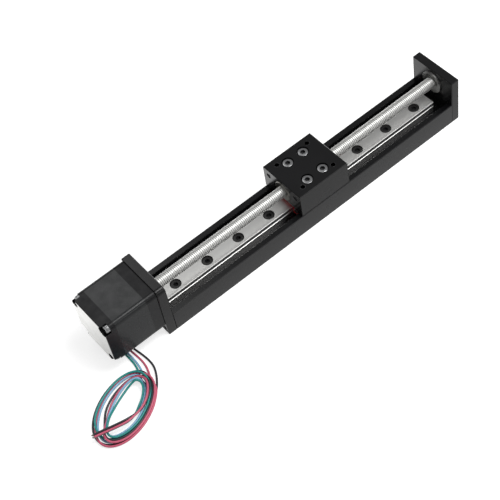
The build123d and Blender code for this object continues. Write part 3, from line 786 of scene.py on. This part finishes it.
class SLIDE_OT_camera(bpy.types.Operator):
    """Adds the camera that looks down along the slide from behind the motor."""

    bl_idname = "slide.camera"
    bl_label = "Camera"

    def execute(self, context):
        start_piece()
        bpy.ops.object.camera_add()
        camera = context.object
        camera.name = "camera"
        camera.data.lens = context.scene.slide_stage.lens
        camera.data.sensor_width = 36
        camera.data.clip_start = 0.01
        # The camera's axes and place, and its lens, come from a least-squares fit to points and
        # edges that were picked in the photograph.
        right = (0.7658587, -0.63049119, -0.12625889)
        up = (0.5707371, 0.57610222, 0.58511999)
        back = (-0.29617497, -0.52017986, 0.80105761)
        place = (-0.22073, -0.35176, 0.53710)
        turned = Matrix((right, up, back)).transposed().to_4x4()
        camera.matrix_world = Matrix.Translation(place) @ turned
        context.scene.camera = camera
        return {"FINISHED"}


class SLIDE_OT_leads(bpy.types.Operator):
    """Adds the motor's four leads, with their coil and bare ends."""

    bl_idname = "slide.leads"
    bl_label = "Leads"

    def execute(self, context):
        sizes = context.scene.slide_sizes
        tinned_colour = context.scene.slide_colours.tinned
        tinned = ground_metal("tinned_copper", tinned_colour, 0.1 * MM, 0.45)
        for colour, route in lay_leads(sizes.wire_diameter / MM).items():
            curve = bpy.data.curves.new(f"cord_{colour}", "CURVE")
            curve.dimensions = "3D"
            curve.bevel_depth = sizes.wire_diameter / 2
            curve.bevel_resolution = 4
            curve.use_fill_caps = True
            spline = curve.splines.new("NURBS")
            spline.points.add(len(route) - 1)
            for point, place in zip(spline.points, route):
                point.co = (*place, 1)
            spline.order_u = 3
            spline.use_endpoint_u = True
            spline.resolution_u = 6
            cord = bpy.data.objects.new(f"cord_{colour}", curve)
            context.scene.collection.objects.link(cord)
            paint(cord, vinyl(colour))
            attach(cord, "base")
            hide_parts(f"lead_{colour}", "lead_coil")
            tip = self.bare_end(route, sizes, colour)
            paint(tip, tinned)
            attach(tip, "base")
        return {"FINISHED"}

    def bare_end(self, route, sizes, colour):
        """The tinned end of a lead, in line with its last stretch and rounded at its tip."""
        start_piece()
        direction = (route[-1] - route[-2]).normalized()
        bpy.ops.mesh.primitive_cylinder_add(
            vertices=16, radius=sizes.bare_diameter / 2, depth=sizes.bare_length
        )
        tip = bpy.context.object
        tip.name = f"bare_end_{colour}"
        select_faces(tip, lambda face: face.normal.z > 0.9)
        bpy.ops.mesh.bevel(offset=sizes.bare_diameter / 4, segments=2, affect="EDGES")
        bpy.ops.object.mode_set(mode="OBJECT")
        turned = direction.to_track_quat("Z", "Y").to_matrix().to_4x4()
        middle = route[-1] + direction * sizes.bare_length * 0.45
        tip.matrix_world = Matrix.Translation(middle) @ turned
        settle(tip)
        bpy.ops.object.shade_smooth_by_angle(angle=radians(40))
        return tip


class SLIDE_OT_feed_screw(bpy.types.Operator):
    """Adds the feed screw with its thread, between the journals that turn in the bearings."""

    bl_idname = "slide.feed_screw"
    bl_label = "Feed screw"

    thread_start = -80.25 * MM
    thread_end = 107.45 * MM
    # The crest and the root of the thread take up the same share of a lead, and so do its two
    # flanks.
    flat_share = 0.36
    flank_share = 0.14
    steps_per_turn = 24
    weld_gap = 0.001 * MM
    journal_radius = 2.5 * MM
    journal_chamfer = 0.3 * MM

    def execute(self, context):
        sizes = context.scene.slide_sizes
        low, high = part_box("feed_screw")
        root = (high.y - low.y) / 2 - sizes.thread_depth
        thread_start, thread_end = self.thread_start, self.thread_end
        start_piece()
        bpy.ops.mesh.primitive_plane_add(size=MM, location=(0, 0, 0))
        profile = context.object
        bpy.ops.object.mode_set(mode="EDIT")
        bpy.ops.mesh.select_mode(type="VERT")
        bpy.ops.mesh.select_all(action="SELECT")
        bpy.ops.mesh.merge(type="CENTER")
        bpy.ops.transform.translate(value=(0, 0, root))
        lead = sizes.thread_lead
        for step_x, step_z in (
            (self.flat_share * lead, 0),
            (self.flank_share * lead, sizes.thread_depth),
            (self.flat_share * lead, 0),
            (self.flank_share * lead, -sizes.thread_depth),
        ):
            bpy.ops.mesh.extrude_region_move(
                TRANSFORM_OT_translate={"value": (step_x, 0, step_z)}
            )
        bpy.ops.object.mode_set(mode="OBJECT")
        turns = profile.modifiers.new("turns", "SCREW")
        turns.axis = "X"
        turns.angle = 2 * pi
        turns.screw_offset = lead
        turns.iterations = int((thread_end - thread_start) / lead) - 1
        turns.steps = turns.render_steps = self.steps_per_turn
        turns.use_merge_vertices = True
        turns.merge_threshold = self.weld_gap
        apply_modifiers(profile)
        bpy.ops.object.mode_set(mode="EDIT")
        bpy.ops.mesh.select_all(action="SELECT")
        bpy.ops.mesh.remove_doubles(threshold=2 * self.weld_gap)
        bpy.ops.mesh.fill_holes(sides=0)
        bpy.ops.mesh.normals_make_consistent(inside=False)
        bpy.ops.object.mode_set(mode="OBJECT")
        profile.location = (thread_start + lead / 4, 0, SCREW_AXIS_HEIGHT)
        parts = [settle(profile)]
        for start, end in ((low.x, thread_start + lead), (thread_end - lead, high.x)):
            bpy.ops.mesh.primitive_cylinder_add(
                vertices=48, radius=self.journal_radius, depth=end - start,
                location=((start + end) / 2, 0, SCREW_AXIS_HEIGHT), rotation=(0, pi / 2, 0),
            )
            journal = settle(context.object)
            select_faces(journal, lambda face: abs(face.normal.x) > 0.9)
            bpy.ops.mesh.bevel(offset=self.journal_chamfer, segments=2, affect="EDGES")
            bpy.ops.object.mode_set(mode="OBJECT")
            parts.append(journal)
        screw = join(parts, "threaded_screw")
        bpy.ops.object.shade_smooth_by_angle(angle=radians(25))
        colour = context.scene.slide_colours.screw_steel
        paint(screw, ground_metal("rolled_steel", colour, 0.4 * MM, 0.5))
        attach(screw, "screw")
        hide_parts("feed_screw")
        return {"FINISHED"}


class SLIDE_OT_screws(bpy.types.Operator):
    """Adds the cap screws of the rail and the carriage, and the screws behind the motor."""

    bl_idname = "slide.screws"
    bl_label = "Screws"

    def execute(self, context):
        colours = context.scene.slide_colours
        upright = Matrix.Identity(4)
        # The sockets' material is dark grease together with painted shade.
        recess = moulded("socket_grease_and_shade", colours.socket, 0.6, 0.3 * MM)
        oxide = shared("black_oxide", black_oxide)
        rail_screw = socket_screw(oxide, recess, RAIL_SHANK, **CAP_HEAD)
        rail_places = [
            (FIRST_RAIL_SCREW + RAIL_SCREW_PITCH * index, 0, RAIL_SCREW_SEAT)
            for index in range(RAIL_SCREW_COUNT)
        ]
        rail_screws = copies(rail_screw, rail_places, upright, "rail_cap_screws")
        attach(rail_screws, "base")
        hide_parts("rail_screws")
        low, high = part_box("carriage_block")
        middle = (low.x + high.x) / 2
        carriage_screw = socket_screw(zinc_plate(), recess, CARRIAGE_SHANK, **CAP_HEAD)
        carriage_places = [
            (
                middle + along * CARRIAGE_SCREW_ALONG,
                across * CARRIAGE_SCREW_ACROSS,
                high.z - CARRIAGE_SCREW_SEAT,
            )
            for along in (-1, 1)
            for across in (-1, 1)
        ]
        carriage_screws = copies(carriage_screw, carriage_places, upright, "carriage_cap_screws")
        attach(carriage_screws, "carriage")
        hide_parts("carriage_screws")
        motor_screw = cross_screw(shank_length=MOTOR_SHANK, **PAN_HEAD, **PAN_SLOT)
        motor_places = [
            (
                MOTOR_SCREW_SEAT,
                across * MOTOR_SCREW_OFFSET,
                SCREW_AXIS_HEIGHT + up * MOTOR_SCREW_OFFSET,
            )
            for across in (-1, 1)
            for up in (-1, 1)
        ]
        rearward = Matrix.Rotation(-pi / 2, 4, "Y")
        motor_screws = copies(motor_screw, motor_places, rearward, "motor_pan_screws")
        paint(motor_screws, zinc_plate())
        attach(motor_screws, "base")
        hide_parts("motor_screws")
        return {"FINISHED"}


class SLIDE_OT_finishes(bpy.types.Operator):
    """Gives every CAD node the finish of the real piece."""

    bl_idname = "slide.finishes"
    bl_label = "Finishes"

    def execute(self, context):
        colours = context.scene.slide_colours
        finishes = {
            "black_anodised": anodised_aluminium("anodised_plate", colours.anodised, 1.35),
            "motor_black": motor_paint("bell_paint", colours.motor_bells, 0.34, 1.33),
            "ground_steel": ground_metal("ground_rail_steel", colours.steel, 0.8 * MM, 0.42),
            "screw_steel": ground_metal("turned_steel", colours.screw_steel, 0.4 * MM, 0.24),
            "bearing_steel": ground_metal("bearing_steel", colours.bearing, 0.4 * MM, 0.3),
            "black_oxide": shared("black_oxide", black_oxide),
            "bright_zinc": zinc_plate(),
            "brass": ground_metal("turned_brass", colours.brass, 0.4 * MM, 0.3),
            "seal_red": moulded("seal_rubber", colours.seal, 0.45, 0.3 * MM),
            "cap_plastic": moulded("cap_plastic", colours.plastic, 0.4, 0.3 * MM),
            "rotor_iron": ground_metal("rotor_iron", colours.rotor_iron, 0.5 * MM, 0.4),
            "copper_wire": ground_metal("enamelled_copper", colours.copper, 0.3 * MM, 0.35),
        }
        finishes |= {f"wire_{colour}": vinyl(colour) for colour in LEADS}
        own_finishes = {
            "base_channel": anodised_aluminium("anodised_channel", colours.anodised_base, 1.4),
            "carriage_block": anodised_aluminium(
                "anodised_carriage", colours.anodised, 1.35, cut_threads
            ),
            "motor_stator": motor_paint("stack_paint", colours.motor_stack, 0.24, 1.34),
            "guide_end_cap_front": shared("end_cap_plastic", end_cap),
            "guide_end_cap_rear": shared("end_cap_plastic", end_cap),
        }
        for row in frame["record"]["subparts"]:
            node = row["node"]
            paint(frame["nodes"][node], own_finishes.get(node) or finishes[row["material_slot"]])
        return {"FINISHED"}


class SLIDE_OT_stage(bpy.types.Operator):
    """Adds a plain white floor, the room's light and three soft lamps."""

    bl_idname = "slide.stage"
    bl_label = "Stage"

    # The glow that the camera sees, near the slide and far off, and the painted glow that shows
    # only in reflections, in front of the slide and behind it.
    near_glow = 0.72
    far_glow = 1
    near_distance = 0.3
    far_distance = 1
    front_glow = 0.25
    back_glow = 1.2
    front_edge = -27 * MM
    back_edge = 22 * MM

    def execute(self, context):
        stage = context.scene.slide_stage
        start_piece()
        bpy.ops.mesh.primitive_plane_add(size=stage.floor_size)
        floor = context.object
        floor.name = "floor"
        paint(floor, self.floor_material())
        self.world(context, stage.sky)
        self.lamp("front_lamp", (0.26, -0.72, 0.46), stage.front_lamp, 0.5, 0.35)
        self.lamp("back_lamp", (0.02, 0.55, 0.8), stage.back_lamp, 0.3, 0.3)
        self.lamp("top_lamp", (0.27, -0.22, 0.83), stage.top_lamp, 0.42, 0.42)
        context.scene.view_settings.view_transform = "Standard"
        return {"FINISHED"}

    def floor_material(self):
        """White card: it looks white, lights the object from below and takes its shadow. Far
        off it is as bright as the room. In reflections it has a painted glow, dim in front of the
        slide and bright behind it: a painted reflection that lights the slide's far sides."""
        material, tree = new_material("white_card")
        diffuse = add_node(
            tree, "ShaderNodeBsdfDiffuse", {"Color": (0.6, 0.6, 0.6, 1)}
        ).outputs["BSDF"]
        place = add_node(tree, "ShaderNodeTexCoord").outputs["Object"]
        across = add_node(tree, "ShaderNodeSeparateXYZ", links={"Vector": place}).outputs["Y"]
        # Painted reflection: only in reflections does the floor glow, dim in front of the slide
        # and bright behind it.
        painted_reflection_glow = ramp(
            tree, across, self.front_edge, self.back_edge, self.front_glow, self.back_glow
        )
        distance = vector_math(tree, "LENGTH", place, output="Value")
        seen = ramp(
            tree, distance, self.near_distance, self.far_distance, self.near_glow, self.far_glow
        )
        path = add_node(tree, "ShaderNodeLightPath").outputs
        either = calculate(tree, "MAXIMUM", path["Is Glossy Ray"], path["Is Transmission Ray"])
        reflected = calculate(tree, "MULTIPLY", either, painted_reflection_glow)
        glow = calculate(tree, "MULTIPLY_ADD", path["Is Camera Ray"], seen, reflected)
        emission = add_node(
            tree, "ShaderNodeEmission", {"Color": (1, 1, 1, 1)}, {"Strength": glow}
        ).outputs["Emission"]
        both = add_node(
            tree, "ShaderNodeAddShader", links={0: diffuse, 1: emission}
        ).outputs["Shader"]
        finish_material(tree, both)
        return material

    def world(self, context, sky):
        """A plain grey room, white where the camera sees it."""
        world = bpy.data.worlds.new("room")
        context.scene.world = world
        world.use_nodes = True
        tree = world.node_tree
        tree.nodes.clear()
        path = add_node(tree, "ShaderNodeLightPath")
        strength = ramp(tree, path.outputs["Is Camera Ray"], 0, 1, sky, 1)
        background = add_node(
            tree, "ShaderNodeBackground", {"Color": (1, 1, 1, 1)}, {"Strength": strength}
        ).outputs["Background"]
        add_node(tree, "ShaderNodeOutputWorld", links={"Surface": background})

    def lamp(self, name, place, power, width, height):
        """A soft rectangular lamp that faces the middle of the slide."""
        start_piece()
        bpy.ops.object.light_add(type="AREA", location=place)
        lamp = bpy.context.object
        lamp.name = name
        lamp.data.shape = "RECTANGLE"
        lamp.data.size = width
        lamp.data.size_y = height
        lamp.data.energy = power
        lamp.rotation_euler = lamp.location.to_track_quat("Z", "Y").to_euler()


class SLIDE_PT_panel(bpy.types.Panel):
    """Lists the slide's operators and settings."""

    bl_idname = "SLIDE_PT_panel"
    bl_label = "Linear slide"
    bl_space_type = "VIEW_3D"
    bl_region_type = "UI"
    bl_category = "Slide"

    def draw(self, context):
        for operator in OPERATORS:
            self.layout.operator(operator.bl_idname)
        for group in ("slide_sizes", "slide_colours", "slide_stage"):
            settings = getattr(context.scene, group)
            for name in settings.__annotations__:
                self.layout.prop(settings, name)


OPERATORS = (
    SLIDE_OT_camera,
    SLIDE_OT_leads,
    SLIDE_OT_feed_screw,
    SLIDE_OT_screws,
    SLIDE_OT_finishes,
    SLIDE_OT_stage,
)
CLASSES = (SlideColours, SlideSizes, StageSettings, *OPERATORS, SLIDE_PT_panel)


def register():
    for item in CLASSES:
        bpy.utils.register_class(item)
    bpy.types.Scene.slide_colours = bpy.props.PointerProperty(type=SlideColours)
    bpy.types.Scene.slide_sizes = bpy.props.PointerProperty(type=SlideSizes)
    bpy.types.Scene.slide_stage = bpy.props.PointerProperty(type=StageSettings)


def unregister():
    del bpy.types.Scene.slide_stage
    del bpy.types.Scene.slide_sizes
    del bpy.types.Scene.slide_colours
    for item in reversed(CLASSES):
        bpy.utils.unregister_class(item)


def main():
    register()
    bpy.ops.slide.camera()
    bpy.ops.slide.leads()
    bpy.ops.slide.feed_screw()
    bpy.ops.slide.screws()
    bpy.ops.slide.finishes()
    bpy.ops.slide.stage()


if __name__ == "__main__":
    main()
